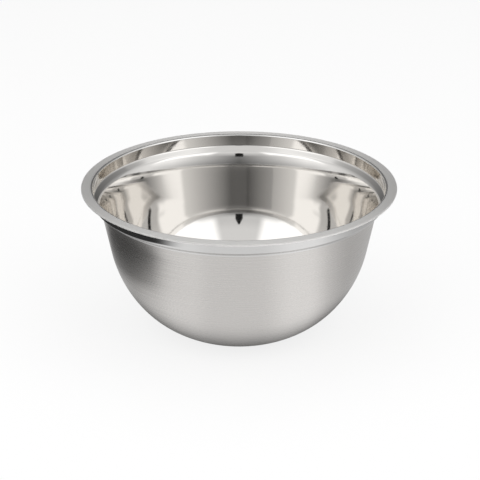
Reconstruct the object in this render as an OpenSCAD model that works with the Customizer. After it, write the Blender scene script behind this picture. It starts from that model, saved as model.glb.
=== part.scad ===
// Deep mixing bowl drawn from one sheet of steel, with a stepped collar and
// a flat lip whose edge is rolled under.
// Origin: centre of the flat base, on the table. +Z is up.
//
// The sheet is divided at its forming lines into eight zones. Each zone is a
// solid of its own, and neighbours meet face to face on a cut square to the
// sheet. Sizes are taken on the inside face unless the comment says otherwise.

/* [Overall size] */
// Diameter over the rolled edge
rim_d = 240; // [200:1:300]
// Height from the table to the top of the lip
bowl_h = 116.5; // [95:0.5:150]
// Thickness of the steel sheet
sheet_t = 0.6; // [0.4:0.1:1.0]

/* [Rolled edge] */
// Gap between the lip and the strip folded back under it
hem_gap = 0.4; // [0.2:0.1:0.8]
// Width of the strip folded back under the lip
hem_w = 4; // [2:0.1:5]

/* [Lip and collar] */
// Width of the lip, from the outside of the roll to the face of the collar
lip_w = 8.6; // [7.5:0.1:14]
// Radius of the bend from the lip down into the collar
lip_bend_r = 1.3; // [1.1:0.1:2]
// Height from the top of the lip to the corner of collar and step
collar_h = 10; // [6:0.1:16]

/* [Step] */
// Width of the step between the collar and the wall
step_w = 4.8; // [4:0.1:8]
// Height of the step between the collar and the wall
step_h = 3.2; // [2.5:0.1:6]
// Radius of the inner bend between the collar and the step
step_bend_r = 2; // [1:0.1:3]
// Radius of the bend over which the step turns down into the wall
brow_bend_r = 5; // [3:0.1:6]

/* [Wall] */
// Lean of the upper wall from upright, in degrees
wall_lean = 11.4; // [6:0.1:16]
// Lean of the wall where it flares out to the step, in degrees
flare_lean = 20; // [16.5:0.5:24]
// Radius of the gentle bend that flares the wall
flare_r = 72; // [30:1:80]
// Height of the leaning wall, from the corner at the step down to the round
side_h = 37; // [30:0.5:50]

/* [Base] */
// Diameter of the flat floor, to the corner where the wall starts
floor_d = 87.5; // [70:0.5:110]
// Slope at which the wall leaves the floor, in degrees from level
heel_slope = 21.5; // [14:0.5:30]
// Radius of the bend at the corner of floor and wall
heel_r = 8; // [4:0.5:12]

/* [Hidden] */

$fn = 180;
satin_steel = [0.76, 0.75, 0.74];
polished_steel = [0.86, 0.86, 0.86];

// Turn of the sheet between two neighbouring points of a bend, in degrees
bend_step = 3;

// Angle of the normal on the sheet's outer side, for each straight stretch.
// Level stretches face down, the collar faces straight out.
face_floor = -90;
face_heel = -90 + heel_slope;
face_wall = -wall_lean;
face_flare = -flare_lean;
face_step = -90 + atan2(step_h, step_w);
face_collar = 0;
face_lip = -90;

// Unit vector at an angle, and the way the section runs where its outer
// side faces that angle: from the middle of the floor out and up to the rim
function toward(angle) = [cos(angle), sin(angle)];
function along(angle) = [-sin(angle), cos(angle)];

// A section is a list of stations. Each is a point on the inside face, with
// the angle that the outer side faces there.
function arc(centre, r, from, to) =
    let (n = ceil(abs(to - from) / bend_step))
    [for (i = [0 : n])
        let (angle = from + (to - from) * i / n)
        [centre + r * toward(angle), angle]];

// Bend of radius r round a corner. It is centred inside the bowl where the
// section turns upward, and outside the bowl where it turns down.
function bend(corner, from, to, r) =
    let (signed_r = sign(to - from) * r)
    arc(corner - signed_r / cos((to - from) / 2) * toward((from + to) / 2), signed_r, from, to);

function last(list) = list[len(list) - 1];

// Floor and heel
floor_corner = [floor_d / 2, sheet_t];
heel = bend(floor_corner, face_floor, face_heel, heel_r);

// Lip, collar and step, from the outside in
roll_r = sheet_t + hem_gap / 2;
roll_centre = [rim_d / 2 - roll_r, bowl_h - roll_r];
lip_corner = [rim_d / 2 - lip_w, bowl_h];
step_corner = lip_corner - [0, collar_h];
brow_corner = step_corner - [step_w, step_h];
lip_bend = bend(lip_corner, face_collar, face_lip, lip_bend_r);
step_bend = bend(step_corner, face_step, face_collar, step_bend_r);
brow_bend = bend(brow_corner, face_flare, face_step, brow_bend_r);

// The wall flares just under the step: its gentle bend ends where the bend
// over into the step begins. side_foot is where the straight wall meets the
// round of the bowl.
flare_reach = flare_r * tan((flare_lean - wall_lean) / 2);
brow_reach = brow_bend_r * tan((face_flare - face_step) / 2);
flare_corner = brow_corner - (flare_reach + brow_reach) * along(face_flare);
flare_drop = brow_corner[1] - flare_corner[1];
flare = bend(flare_corner, face_wall, face_flare, flare_r);
side_foot = flare_corner - (side_h - flare_drop) / cos(wall_lean) * along(face_wall);

// The round of the bowl is two arcs that meet in one tangent. Each is a bend
// whose reach is round_reach, so together they join the heel to the side wall.
span = side_foot - last(heel)[0];
way_sum = along(face_heel) + along(face_wall);
way_dot = along(face_heel) * along(face_wall);
round_reach = (sqrt(pow(span * way_sum, 2) + 2 * (1 - way_dot) * (span * span)) - span * way_sum)
    / (2 * (1 - way_dot));
lower_corner = last(heel)[0] + round_reach * along(face_heel);
upper_corner = side_foot - round_reach * along(face_wall);
chord = upper_corner - lower_corner;
face_round = atan2(chord[1], chord[0]) - 90;
lower_r = round_reach / tan((face_round - face_heel) / 2);
upper_r = round_reach / tan((face_wall - face_round) / 2);
lower_arc = bend(lower_corner, face_heel, face_round, lower_r);
upper_arc = bend(upper_corner, face_round, face_wall, upper_r);

// Strip of sheet along a list of stations, turned about the bowl's axis
module turned_sheet(stations) {
    inside = [for (s = stations) s[0]];
    outside = [for (i = [len(stations) - 1 : -1 : 0])
        stations[i][0] + sheet_t * toward(stations[i][1])];
    rotate_extrude() polygon(concat(inside, outside));
}

// Flat floor with the heel bent up round it: what the bowl stands on
module base() {
    color(satin_steel)
        turned_sheet(concat([[[0, sheet_t], face_floor]], heel));
}

// Lower arc of the round bowl, from the heel to the middle of the round
module lower_bowl() {
    color(satin_steel) turned_sheet(lower_arc);
}

// Upper arc of the round bowl, from the middle of the round to the side wall
module upper_bowl() {
    color(satin_steel) turned_sheet(upper_arc);
}

// Leaning wall between the round and the step, straight and then flared
module side_wall() {
    color(satin_steel) turned_sheet(concat([last(upper_arc)], flare));
}

// Sloping step that sets the collar out from the wall, with both its bends
module step() {
    color(satin_steel) turned_sheet(concat(brow_bend, step_bend));
}

// Upright collar between the step and the lip
module collar() {
    color(satin_steel) turned_sheet([last(step_bend), lip_bend[0]]);
}

// Flat lip, with the bend that carries it on the collar
module lip() {
    color(polished_steel)
        turned_sheet(concat(lip_bend, [[roll_centre + [0, roll_r], face_lip]]));
}

// Edge of the sheet rolled over and folded flat under the lip
module rolled_edge() {
    roll = arc(roll_centre, -roll_r, face_lip, face_lip - 180);
    strip_end = [roll_centre - [hem_w, roll_r], face_lip - 180];
    color(polished_steel) turned_sheet(concat(roll, [strip_end]));
}

base();
lower_bowl();
upper_bowl();
side_wall();
step();
collar();
lip();
rolled_edge();
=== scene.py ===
import math

import bpy
import numpy as np
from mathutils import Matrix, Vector


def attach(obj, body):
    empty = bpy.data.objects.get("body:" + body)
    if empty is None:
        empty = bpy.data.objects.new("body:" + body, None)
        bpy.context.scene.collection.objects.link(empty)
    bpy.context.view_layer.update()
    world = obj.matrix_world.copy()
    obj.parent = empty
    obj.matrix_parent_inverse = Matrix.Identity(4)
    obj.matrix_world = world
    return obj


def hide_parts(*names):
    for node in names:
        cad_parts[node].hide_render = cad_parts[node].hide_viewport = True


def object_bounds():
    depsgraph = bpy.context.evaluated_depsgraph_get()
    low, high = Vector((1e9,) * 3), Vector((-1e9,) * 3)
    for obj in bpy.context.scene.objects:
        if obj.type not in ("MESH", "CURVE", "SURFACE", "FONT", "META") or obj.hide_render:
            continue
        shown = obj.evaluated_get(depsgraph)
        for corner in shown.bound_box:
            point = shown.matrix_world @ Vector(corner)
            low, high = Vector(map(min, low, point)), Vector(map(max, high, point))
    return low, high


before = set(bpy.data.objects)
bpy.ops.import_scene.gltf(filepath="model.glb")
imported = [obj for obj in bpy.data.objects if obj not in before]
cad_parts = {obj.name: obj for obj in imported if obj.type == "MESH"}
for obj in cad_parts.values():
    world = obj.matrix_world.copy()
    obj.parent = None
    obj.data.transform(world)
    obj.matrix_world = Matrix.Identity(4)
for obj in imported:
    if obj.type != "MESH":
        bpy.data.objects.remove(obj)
cad_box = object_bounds()


# ---------------------------------------------------------------- base
# Flat floor of the bowl, with the heel bent up round it. It is the middle of
# the pressed blank, so it keeps the sheet's full thickness: polished inside,
# and satin underneath where the bowl stands.

sheet = 0.0006
floor_r = 0.04375
heel_slope = math.radians(21.5)
heel_bend = 0.008
face_down = math.radians(-90)
face_heel = face_down + heel_slope

# Squares round the bowl, and the longest turn between two points of a wide bend.
steps_around = 360
gentle = math.radians(1)


def toward(angle):
    """Unit vector in the section's plane: cosine outward, sine upward."""
    return np.stack([np.cos(angle), np.sin(angle)], -1)


def arc(centre, radius, start, stop, step):
    """Round stretch of the section: centre plus radius times the unit vector
    at an angle that goes from start to stop in even steps, none longer than
    step. Returns the points and the angles, which are also where the sheet's
    outer side faces."""
    count = math.ceil(abs(stop - start) / step) + 1
    angle = np.linspace(start, stop, count)
    return np.asarray(centre) + radius * toward(angle), angle


def bend(corner, start, stop, radius, step):
    """Bend round the corner of two straight stretches: an arc whose centre
    lies on the corner's bisector, radius / cos(half the turn) away. It is on
    the bowl's side where the sheet turns up, and outside where it turns down."""
    signed = math.copysign(radius, stop - start)
    middle = toward((start + stop) / 2)
    centre = np.asarray(corner) - signed / math.cos((stop - start) / 2) * middle
    return arc(centre, signed, start, stop, step)


def straight(first, last, facing, count):
    """Straight stretch: points evenly from first to last, all facing one way."""
    share = np.linspace(0, 1, count)[:, None]
    return np.asarray(first) * (1 - share) + np.asarray(last) * share, np.full(count, facing)


def joined(*stretches):
    """Stretches end to end, leaving out each first point that repeats a last."""
    points = [stretches[0][0]] + [s[0][1:] for s in stretches[1:]]
    facing = [stretches[0][1]] + [s[1][1:] for s in stretches[1:]]
    return np.concatenate(points), np.concatenate(facing)


def turned_sheet(name, stretch):
    """Closed ring of sheet: the section's inside face, then its outer face one
    sheet thickness further along the facing angle, both carried round the
    upright axis. Point (r, z) at turn t is (r cos t, r sin t, z). A row on the
    axis is one vertex. Normals are the section's own, turned with it."""
    inside, facing = stretch
    rows = np.concatenate([inside, (inside + sheet * toward(facing))[::-1]])
    outward = np.concatenate([-toward(facing), toward(facing)[::-1]])
    count = len(rows)
    half = len(inside)
    pole = rows[:, 0] < 1e-9
    turn = np.arange(steps_around) * (2 * math.pi / steps_around)
    points = np.stack([
        rows[:, :1] * np.cos(turn),
        rows[:, :1] * np.sin(turn),
        np.repeat(rows[:, 1:], steps_around, 1),
    ], -1).reshape(-1, 3)

    row_a = np.arange(count)
    row_b = np.roll(row_a, -1)
    on_surface = (row_a != half - 1) & (row_a != count - 1)
    wanted = ~(pole[row_a] & pole[row_b])
    row_a, row_b, on_surface = row_a[wanted], row_b[wanted], on_surface[wanted]
    col_a = np.arange(steps_around)
    col_b = np.roll(col_a, -1)
    corner_row = np.stack([row_a, row_b, row_b, row_a], -1)[:, None, :]
    corner_col = np.stack([col_a, col_a, col_b, col_b], -1)[None, :, :]
    corner = corner_row * steps_around + np.where(pole[corner_row], 0, corner_col)
    keep = np.ones(corner.shape, bool)
    keep[pole[row_a], :, 3] = False
    keep[pole[row_b], :, 2] = False

    edge = rows[row_b] - rows[row_a]
    across = np.stack([-edge[:, 1], edge[:, 0]], -1)
    across /= np.linalg.norm(across, axis=1, keepdims=True)
    flat = np.where(on_surface[:, None, None], outward[corner_row[:, 0]], across[:, None])
    swing = turn[corner_col]
    normal = np.stack([
        flat[:, None, :, 0] * np.cos(swing),
        flat[:, None, :, 0] * np.sin(swing),
        flat[:, None, :, 1] * np.ones_like(swing),
    ], -1)

    used, corner = np.unique(corner[keep], return_inverse=True)
    sides = keep.sum(-1).ravel()
    mesh = bpy.data.meshes.new(name)
    mesh.vertices.add(len(used))
    mesh.vertices.foreach_set("co", points[used].ravel())
    mesh.loops.add(len(corner))
    mesh.loops.foreach_set("vertex_index", corner.ravel())
    mesh.polygons.add(len(sides))
    mesh.polygons.foreach_set("loop_start", np.cumsum(sides) - sides)
    outer_face = np.repeat(row_a >= half - 1, steps_around)
    mesh.polygons.foreach_set("material_index", outer_face.astype(np.int32))
    mesh.polygons.foreach_set("use_smooth", np.ones(len(sides), bool))
    mesh.update(calc_edges=True)
    mesh.normals_split_custom_set(normal[keep].tolist())
    piece = bpy.data.objects.new(name, mesh)
    bpy.context.scene.collection.objects.link(piece)
    return piece


heel_corner = (floor_r, sheet)
heel = bend(heel_corner, face_down, face_heel, heel_bend, gentle)
floor_line = straight((0, sheet), heel[0][0], face_down, count=16)
base = turned_sheet("steel_base", joined(floor_line, heel))


def new_material(name, colour, roughness, anisotropy):
    """Steel: a metal whose roughness is drawn out across the polishing lines,
    which run round the bowl, so the tangent is turned a quarter from them."""
    material = bpy.data.materials.new(name)
    material.use_nodes = True
    tree = material.node_tree
    metal = tree.nodes["Principled BSDF"]
    metal.inputs["Base Color"].default_value = (*colour, 1)
    metal.inputs["Metallic"].default_value = 1
    metal.inputs["Roughness"].default_value = roughness
    metal.inputs["Anisotropic"].default_value = anisotropy
    metal.inputs["Anisotropic Rotation"].default_value = 0.25
    tangent = tree.nodes.new("ShaderNodeTangent")
    tangent.direction_type = "RADIAL"
    tangent.axis = "Z"
    tree.links.new(tangent.outputs["Tangent"], metal.inputs["Tangent"])
    return material


def feed(tree, socket, value):
    """Links an input to another node's output, or sets it to a plain value."""
    if isinstance(value, bpy.types.NodeSocket):
        tree.links.new(value, socket)
    else:
        socket.default_value = value


def math_node(tree, operation, first, second):
    """One step of arithmetic between outputs or plain numbers."""
    step = tree.nodes.new("ShaderNodeMath")
    step.operation = operation
    feed(tree, step.inputs[0], first)
    feed(tree, step.inputs[1], second)
    return step.outputs[0]


def vector_node(tree, operation, *values):
    """One step of arithmetic between outputs or plain vectors."""
    step = tree.nodes.new("ShaderNodeVectorMath")
    step.operation = operation
    for socket, value in zip(step.inputs, values):
        feed(tree, socket, value)
    return step.outputs["Value" if operation == "LENGTH" else "Vector"]


def place_on_bowl(tree):
    """Place (x, y, z) on the bowl, from the middle of its base."""
    return tree.nodes.new("ShaderNodeTexCoord").outputs["Object"]


def way_out(tree):
    """Vector straight out from the bowl's axis, (x, y, 0)."""
    return vector_node(tree, "MULTIPLY", place_on_bowl(tree), (1, 1, 0))


def distance_out(tree):
    """Distance from the bowl's axis, the length of (x, y, 0)."""
    return vector_node(tree, "LENGTH", way_out(tree))


def noise(tree, vector, scale, detail):
    """Smooth random value from 0 to 1 at a vector."""
    field = tree.nodes.new("ShaderNodeTexNoise")
    field.inputs["Scale"].default_value = scale
    field.inputs["Detail"].default_value = detail
    tree.links.new(vector, field.inputs["Vector"])
    return field.outputs["Fac"]


def ring_noise(tree, around, across, detail):
    """Noise drawn out in rings round the bowl: noise at the unit direction
    from the axis times around, plus upward the distance along the section,
    r + z, times across."""
    direction = vector_node(tree, "NORMALIZE", way_out(tree))
    ring = vector_node(tree, "MULTIPLY", direction, (around, around, 0))
    height = tree.nodes.new("ShaderNodeSeparateXYZ")
    tree.links.new(place_on_bowl(tree), height.inputs[0])
    course = math_node(tree, "ADD", distance_out(tree), height.outputs["Z"])
    climb = tree.nodes.new("ShaderNodeCombineXYZ")
    tree.links.new(math_node(tree, "MULTIPLY", course, across), climb.inputs["Z"])
    return noise(tree, vector_node(tree, "ADD", ring, climb.outputs[0]), 1, detail)


def add_relief(tree, height, depth):
    """Raises the surface by depth metres times height, under what the
    material's relief already is."""
    metal = tree.nodes["Principled BSDF"]
    relief = tree.nodes.new("ShaderNodeBump")
    relief.inputs["Strength"].default_value = 1
    relief.inputs["Distance"].default_value = depth
    tree.links.new(height, relief.inputs["Height"])
    if metal.inputs["Normal"].is_linked:
        tree.links.new(metal.inputs["Normal"].links[0].from_socket, relief.inputs["Normal"])
    tree.links.new(relief.outputs["Normal"], metal.inputs["Normal"])


def rise(tree, value, low, high, start, stop):
    """Goes evenly from start to stop as value goes from low to high."""
    ramp = tree.nodes.new("ShaderNodeMapRange")
    for socket, number in (("From Min", low), ("From Max", high), ("To Min", start), ("To Max", stop)):
        ramp.inputs[socket].default_value = number
    tree.links.new(value, ramp.inputs["Value"])
    return ramp.outputs["Result"]


def uneven(tree, smoothest, roughest):
    """Roughness that varies in fine rings. Noise mostly keeps between 0.3 and
    0.7, so that stretch is spread from smoothest to roughest."""
    return rise(tree, ring_noise(tree, around=2, across=1200, detail=3), 0.3, 0.7, smoothest, roughest)


def set_roughness(tree, value):
    """Gives the steel a roughness that another node works out."""
    tree.links.new(value, tree.nodes["Principled BSDF"].inputs["Roughness"])


# Polished, with slow waves from the pressing and fine rings from the wheel.
polished = new_material("polished_inside", colour=(0.82, 0.802, 0.777), roughness=0.05, anisotropy=0.3)
nodes = polished.node_tree
add_relief(nodes, noise(nodes, place_on_bowl(nodes), scale=14, detail=1), depth=0.00012)
add_relief(nodes, ring_noise(nodes, around=2, across=300, detail=2), depth=0.000002)
polish_rings = ring_noise(nodes, around=3, across=900, detail=3)
set_roughness(nodes, rise(nodes, polish_rings, 0.3, 0.7, 0.03, 0.08))

# Satin, with brush lines round the bowl.
satin = new_material("satin_outside", colour=(0.57, 0.552, 0.535), roughness=0.28, anisotropy=0.85)
nodes = satin.node_tree
add_relief(nodes, ring_noise(nodes, around=1.5, across=2500, detail=1), depth=0.0000011)
set_roughness(nodes, uneven(nodes, 0.25, 0.31))

# Brighter than the satin, and brushed with coarser lines.
collar_outside = new_material("collar_outside", colour=(0.59, 0.585, 0.58), roughness=0.13, anisotropy=0.5)
nodes = collar_outside.node_tree
add_relief(nodes, ring_noise(nodes, around=1.5, across=1500, detail=1), depth=0.000001)
set_roughness(nodes, uneven(nodes, 0.1, 0.16))


def finish_piece(piece, node, inside, outer):
    """Gives a ring of sheet its two finishes, and stands it for its CAD node."""
    piece.data.materials.append(inside)
    piece.data.materials.append(outer)
    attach(piece, "root")
    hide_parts(node)


finish_piece(base, "base", polished, satin)


# ---------------------------------------------------------------- round bowl
# The deep drawn round of the bowl. Its section is two arcs that share a
# tangent, the lower one tighter, and it takes up the blank's full draw.

rim_r = cad_box[1].x
bowl_h = cad_box[1].z
lip_w = 0.0086
collar_h = 0.010
step_w = 0.0048
step_h = 0.0032
side_h = 0.037
wall_lean = math.radians(11.4)
flare_lean = math.radians(20)
flare_r = 0.072
brow_bend_r = 0.005
face_wall = -wall_lean
face_flare = -flare_lean
face_step = face_down + math.atan2(step_h, step_w)

# Corners of the section: lip and collar, collar and step, step and wall.
lip_corner = np.array([rim_r - lip_w, bowl_h])
step_corner = lip_corner - [0, collar_h]
brow_corner = step_corner - [step_w, step_h]


def along(angle):
    """Way the section runs, floor to rim, where its outer side faces angle."""
    return toward(angle + math.pi / 2)


# The wall flares just under the step: the flare's bend ends where the step's
# own bend begins, and the straight wall goes on down to side_foot.
flare_reach = flare_r * math.tan((flare_lean - wall_lean) / 2)
brow_reach = brow_bend_r * math.tan((face_flare - face_step) / 2)
flare_corner = brow_corner - (flare_reach + brow_reach) * along(face_flare)
straight_h = side_h - (brow_corner[1] - flare_corner[1])
side_foot = flare_corner - straight_h / math.cos(wall_lean) * along(face_wall)

# Both arcs are bends that reach equally far from their corners, and the line
# between the two corners is the tangent that they share.
heel_end = heel[0][-1]
span = side_foot - heel_end
ways = along(face_heel) + along(face_wall)
apart = 1 - along(face_heel) @ along(face_wall)
reach = (math.sqrt((span @ ways) ** 2 + 2 * apart * (span @ span)) - span @ ways) / (2 * apart)
lower_corner = heel_end + reach * along(face_heel)
upper_corner = side_foot - reach * along(face_wall)
chord = upper_corner - lower_corner
face_round = math.atan2(chord[1], chord[0]) + face_down
lower_r = reach / math.tan((face_round - face_heel) / 2)
upper_r = reach / math.tan((face_wall - face_round) / 2)
lower_arc = bend(lower_corner, face_heel, face_round, lower_r, gentle)
upper_arc = bend(upper_corner, face_round, face_wall, upper_r, gentle)

lower_bowl = turned_sheet("steel_lower_bowl", lower_arc)
finish_piece(lower_bowl, "lower_bowl", polished, satin)
upper_bowl = turned_sheet("steel_upper_bowl", upper_arc)
finish_piece(upper_bowl, "upper_bowl", polished, satin)


# ---------------------------------------------------------------- side wall and step
# Leaning wall above the round, flared a little at its top, and the sloping
# step that sets the collar out from it, pressed in the same stroke with a soft
# bend below and a tighter one above.

step_bend_r = 0.002

face_collar = 0

# Longest turn between two points of a tight bend.
tight = math.radians(3)
flare = bend(flare_corner, face_wall, face_flare, flare_r, gentle)
brow = bend(brow_corner, face_flare, face_step, brow_bend_r, tight)
step_bend = bend(step_corner, face_step, face_collar, step_bend_r, tight)
side_line = joined(straight(upper_arc[0][-1], flare[0][0], face_wall, count=24), flare)
step_line = straight(brow[0][-1], step_bend[0][0], face_step, count=4)

side_wall = turned_sheet("steel_side_wall", side_line)
finish_piece(side_wall, "side_wall", polished, satin)
step = turned_sheet("steel_step", joined(brow, step_line, step_bend))
finish_piece(step, "step", polished, collar_outside)


# ---------------------------------------------------------------- collar
# Upright band between the step and the lip, which stiffens the mouth.

lip_bend_r = 0.0013
lip_bend = bend(lip_corner, face_collar, face_down, lip_bend_r, tight)
collar_line = straight(step_bend[0][-1], lip_bend[0][0], face_collar, count=8)
collar = turned_sheet("steel_collar", collar_line)
finish_piece(collar, "collar", polished, collar_outside)


# ---------------------------------------------------------------- lip and rolled edge
# Flat lip round the mouth. The edge of the sheet is rolled over and folded
# flat under it, so no cut edge is left outside.

hem_gap = 0.0004
hem_w = 0.004
roll_r = sheet + hem_gap / 2
roll_centre = np.array([rim_r - roll_r, bowl_h - roll_r])
face_folded = face_down - math.pi
lip_line = straight(lip_bend[0][-1], roll_centre + [0, roll_r], face_down, count=10)
roll = arc(roll_centre, -roll_r, face_down, face_folded, tight)
strip_end = roll_centre - [hem_w, roll_r]
strip = straight(roll[0][-1], strip_end, face_folded, count=6)

# Matt on the flat and the roll, and polished where the bend goes into the bowl.
lip_metal = new_material("lip_metal", colour=(0.855, 0.847, 0.834), roughness=0.78, anisotropy=0.4)
nodes = lip_metal.node_tree
add_relief(nodes, ring_noise(nodes, around=1.5, across=2500, detail=1), depth=0.0000011)
polish_edge = rise(nodes, distance_out(nodes), 0.1122, 0.1132, 0.06, 1)
set_roughness(nodes, math_node(nodes, "MULTIPLY", uneven(nodes, 0.74, 0.82), polish_edge))

lip = turned_sheet("steel_lip", joined(lip_bend, lip_line))
finish_piece(lip, "lip", lip_metal, collar_outside)
rolled_edge = turned_sheet("steel_rolled_edge", joined(roll, strip))
finish_piece(rolled_edge, "rolled_edge", lip_metal, collar_outside)


# ---------------------------------------------------------------- table
# Plain white table top that the bowl stands on. It glows as far as the camera
# sees it, so it looks white and keeps only a soft shadow of the bowl.

table_half = 12
table_drop = 0.0001
table_glow = 0.82
table_mesh = bpy.data.meshes.new("table_top")
table_corners = np.array([(-1, -1), (1, -1), (1, 1), (-1, 1)]) * table_half
table_mesh.from_pydata([(x, y, -table_drop) for x, y in table_corners.tolist()], [], [(0, 1, 2, 3)])
table = bpy.data.objects.new("table_top", table_mesh)
bpy.context.scene.collection.objects.link(table)
table_white = bpy.data.materials.new("table_white")
table_white.use_nodes = True
nodes = table_white.node_tree
nodes.nodes.clear()
matt = nodes.nodes.new("ShaderNodeBsdfDiffuse")
matt.inputs["Color"].default_value = (0.9, 0.9, 0.9, 1)
glow = nodes.nodes.new("ShaderNodeEmission")
glow.inputs["Color"].default_value = (1, 1, 1, 1)
path = nodes.nodes.new("ShaderNodeLightPath")
share = math_node(nodes, "MULTIPLY", path.outputs["Is Camera Ray"], table_glow)
both = nodes.nodes.new("ShaderNodeMixShader")
surface = nodes.nodes.new("ShaderNodeOutputMaterial")
nodes.links.new(share, both.inputs["Fac"])
nodes.links.new(matt.outputs[0], both.inputs[1])
nodes.links.new(glow.outputs[0], both.inputs[2])
nodes.links.new(both.outputs[0], surface.inputs["Surface"])
table.data.materials.append(table_white)


# ---------------------------------------------------------------- soft light
# White surroundings, which light things less than half as brightly as they
# look themselves, and three softboxes. They light the table. The steel takes
# its light from the studio in the next section.

ambient_level = 0.4
world = bpy.data.worlds.new("studio_white")
bpy.context.scene.world = world
world.use_nodes = True
nodes = world.node_tree
backdrop = nodes.nodes["Background"]
backdrop.inputs["Color"].default_value = (1, 1, 1, 1)
path = nodes.nodes.new("ShaderNodeLightPath")
seen = math_node(nodes, "MAXIMUM", path.outputs["Is Camera Ray"], path.outputs["Is Glossy Ray"])
seen = math_node(nodes, "MAXIMUM", seen, path.outputs["Is Transmission Ray"])
level = math_node(nodes, "ADD", math_node(nodes, "MULTIPLY", seen, 1 - ambient_level), ambient_level)
nodes.links.new(level, backdrop.inputs["Strength"])


def softbox(name, bearing, lift, distance, side, radiance):
    """Square soft lamp of a plain brightness, at a bearing and a lift in
    degrees as the bowl sees it, turned to face the bowl."""
    lamp_data = bpy.data.lights.new(name, "AREA")
    lamp_data.shape = "SQUARE"
    lamp_data.size = side
    lamp_data.energy = radiance * math.pi * side * side
    lamp = bpy.data.objects.new(name, lamp_data)
    bpy.context.scene.collection.objects.link(lamp)
    turn, up = math.radians(bearing), math.radians(lift)
    way = Vector((-math.sin(turn) * math.cos(up), -math.cos(turn) * math.cos(up), math.sin(up)))
    lamp.location = distance * way
    lamp.rotation_mode = "QUATERNION"
    lamp.rotation_quaternion = way.to_track_quat("Z", "Y")
    lamp.visible_camera = False
    lamp.visible_glossy = False


softbox("softbox_left", bearing=57, lift=42, distance=1.8, side=1.7, radiance=1.4)
softbox("softbox_right", bearing=-57, lift=42, distance=1.8, side=1.7, radiance=1.4)
softbox("softbox_top", bearing=180, lift=82, distance=1.6, side=1.6, radiance=1.2)


# ---------------------------------------------------------------- studio round the bowl
# The room that polished steel shows: lamps and walls on a dome, the table with
# its darker parts, painted lamp light and a painted shadow of the bowl, and the
# camera's stand. Only reflections see these sheets, and they cast no light on
# the table.

# What every sheet's own brightness is multiplied by.
studio_level = 1.12

def soft_step(value, low, high):
    """0 below low, 1 above high, and a smooth rise between."""
    t = np.clip((value - low) / (high - low), 0, 1)
    return t * t * (3 - 2 * t)


def patch(value, low, high, edge):
    """1 between low and high, falling smoothly to 0 an edge's width outside."""
    return soft_step(value, low - edge, low) * (1 - soft_step(value, high, high + edge))


def mixed(old, new, share):
    """Goes from old to new as share goes from 0 to 1."""
    return old + (new - old) * share


def glowing_sheet(name, points, brightness, closed):
    """Sheet of squares on a grid of points, each point shining with its own
    brightness times the studio's level. A closed sheet also joins its last row
    of points to its first."""
    rows, columns = brightness.shape
    index = np.arange(rows * columns).reshape(rows, columns)
    index = np.concatenate([index, index[:1]]) if closed else index
    faces = np.stack([index[:-1, :-1], index[1:, :-1], index[1:, 1:], index[:-1, 1:]], -1)
    mesh = bpy.data.meshes.new(name)
    mesh.from_pydata(points.reshape(-1, 3).tolist(), [], faces.reshape(-1, 4).tolist())
    shine = mesh.attributes.new("shine", "FLOAT", "POINT")
    shine.data.foreach_set("value", (studio_level * brightness.ravel()).astype(np.float32))
    sheet_object = bpy.data.objects.new(name, mesh)
    bpy.context.scene.collection.objects.link(sheet_object)
    sheet_object.visible_camera = False
    sheet_object.visible_diffuse = False
    sheet_object.visible_shadow = False
    sheet_object.visible_transmission = False
    material = bpy.data.materials.new(name)
    material.use_nodes = True
    tree = material.node_tree
    tree.nodes.clear()
    shining = tree.nodes.new("ShaderNodeEmission")
    value = tree.nodes.new("ShaderNodeAttribute")
    value.attribute_name = "shine"
    out = tree.nodes.new("ShaderNodeOutputMaterial")
    tree.links.new(value.outputs["Fac"], shining.inputs["Strength"])
    tree.links.new(shining.outputs[0], out.inputs["Surface"])
    mesh.materials.append(material)


def room_brightness(bearing, lift):
    """Brightness of the room by bearing in degrees, 0 on the camera's side,
    and lift in degrees. Walls are bright beside the bowl, darken towards the
    back, and are dimmer in one corner there. Two tall lamps stand in front,
    their feet lower at the outer side, two small ones hang above the sides,
    and the front is darker low down, with two small glints in it."""
    off = np.abs(bearing)
    overhead = soft_step(lift, 45, 58)

    side_wall_level = 0.78 - 0.05 * soft_step(lift, 68, 90)
    back_wall_level = 0.13 + 0.12 * soft_step(lift, 32, 56) * (1 - overhead)
    to_side = np.clip((165 - 8 * overhead - off) / (80 - 66 * overhead), 0, 1)
    room = mixed(back_wall_level, side_wall_level, to_side)
    dim_corner = (bearing < -121) & (bearing > -168) & (lift < 45)
    room = room * (1 - 0.22 * dim_corner)
    front_wall_level = 0.58 + 0.1 * patch(lift, 36, 62, 12)
    room = mixed(room, front_wall_level, 1 - soft_step(off, 20, 50))

    lamp_foot = 26 - 8 * soft_step(off, 36, 54)
    front_lamp = patch(off, 29, 74, 10) * patch(lift, lamp_foot, 54, 8)
    room = mixed(room, 1.18, front_lamp)
    side_lamp = patch(off, 80, 120, 12) * patch(lift, 60, 72, 8)
    room = mixed(room, 0.95, side_lamp)
    ceiling = soft_step(lift, 75, 83)
    room = mixed(room, 0.66, ceiling)

    height = np.clip((lift - 7) / 10, 0, 1)
    sideways = (np.minimum(off, 60) / 60) ** 1.15
    low = 0.08 + 0.1 * height + (0.42 + 0.36 * height) * sideways
    glints = patch(off, 11, 18, 6) * (1 - soft_step(lift, 7, 9))
    low = low + 0.34 * glints
    low_front = (1 - soft_step(lift, 18.5, 22.5)) * (1 - soft_step(off, 62, 90))
    return mixed(room, low, low_front)


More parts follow.
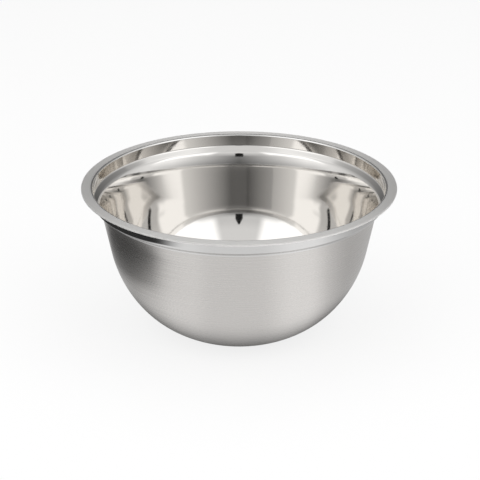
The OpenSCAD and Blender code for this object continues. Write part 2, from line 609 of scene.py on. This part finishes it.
def table_brightness(x, y):
    """Brightness of the table by place in metres, as reflections see it: white,
    with painted lamp light brightest towards the two front lamps, grey to the
    sides, a painted shadow of the bowl under it, and nearly black on the left
    beyond a slanting edge."""
    out = np.hypot(x, y)
    turn = np.degrees(np.arctan2(x, -y))
    # Painted lamp light: the table sheet is brighter towards the two front lamps.
    white = 0.87 + 0.2 * patch(turn, 38, 47, 26) + 0.1 * patch(turn, -44, -34, 18)
    white = mixed(white, 0.56, soft_step(np.abs(turn), 52, 92))
    # Painted shadow of the bowl on the table sheet, centred a little towards the back.
    painted_bowl_shadow = 1 - soft_step(np.hypot(x, y - 0.03), 0.078, 0.122)
    white = white * mixed(1, 0.15, painted_bowl_shadow)
    edge = -0.152 - 0.6 * np.maximum(-0.075 - y, 0)
    blur = 0.2 * out
    dark = (1 - soft_step(x - edge, -blur, blur)) * (1 - soft_step(y, 0.1, 0.2))
    return mixed(white, 0.035, dark)


dome_r = 2.6
bearings, lifts = np.meshgrid(np.arange(-180, 180, 1.5), np.arange(0, 91.5, 1.5), indexing="ij")
across_turn, up_turn = np.radians(bearings), np.radians(lifts)
dome_points = dome_r * np.stack([
    -np.sin(across_turn) * np.cos(up_turn),
    -np.cos(across_turn) * np.cos(up_turn),
    np.sin(up_turn),
], -1)
glowing_sheet("studio_dome", dome_points, room_brightness(bearings, lifts), True)

studio_table_z = 0.0004
table_rings = np.geomspace(0.04, dome_r, 90)
table_turns, table_rings = np.meshgrid(np.radians(np.arange(0, 360, 2)), table_rings, indexing="ij")
table_x = table_rings * np.cos(table_turns)
table_y = table_rings * np.sin(table_turns)
table_points = np.stack([table_x, table_y, np.full(table_x.shape, studio_table_z)], -1)
glowing_sheet("studio_table", table_points, table_brightness(table_x, table_y), True)

# Dark camera and stand in front: rows of (across, height), narrow at the top.
stand_y = -1.25
stand_left = np.array([(-0.075, 0.48), (-0.078, 0.52), (-0.08, 0.6), (-0.01, 0.76)])
stand_right = np.array([(0.075, 0.48), (0.078, 0.52), (0.085, 0.6), (0.02, 0.76)])
stand = np.stack([stand_left, stand_right], 1)
stand_points = np.stack([stand[..., 0], np.full((4, 2), stand_y), stand[..., 1]], -1)
glowing_sheet("camera_stand", stand_points, np.full((4, 2), 0.01), False)

# Light goes to and fro many times inside the polished bowl.
bounces = 24
bpy.context.scene.cycles.max_bounces = bounces
bpy.context.scene.cycles.glossy_bounces = bounces


# ---------------------------------------------------------------- camera
# Long lens in front of the bowl, looking down at it by 23 degrees.

camera_data = bpy.data.cameras.new("camera")
camera_data.lens = 126.2
camera_data.sensor_width = 36
camera = bpy.data.objects.new("camera", camera_data)
bpy.context.scene.collection.objects.link(camera)
bpy.context.scene.camera = camera
camera_lift = math.radians(22.97)
camera_distance = 1.3
aim = Vector((0.0007, 0, 0.0694))
back = Vector((0, -math.cos(camera_lift), math.sin(camera_lift)))
camera.location = aim + camera_distance * back
camera.rotation_mode = "QUATERNION"
camera.rotation_quaternion = (-back).to_track_quat("-Z", "Y")
camera_data.clip_start = 0.01
camera_data.clip_end = 60

bpy.context.scene.view_settings.view_transform = "Standard"
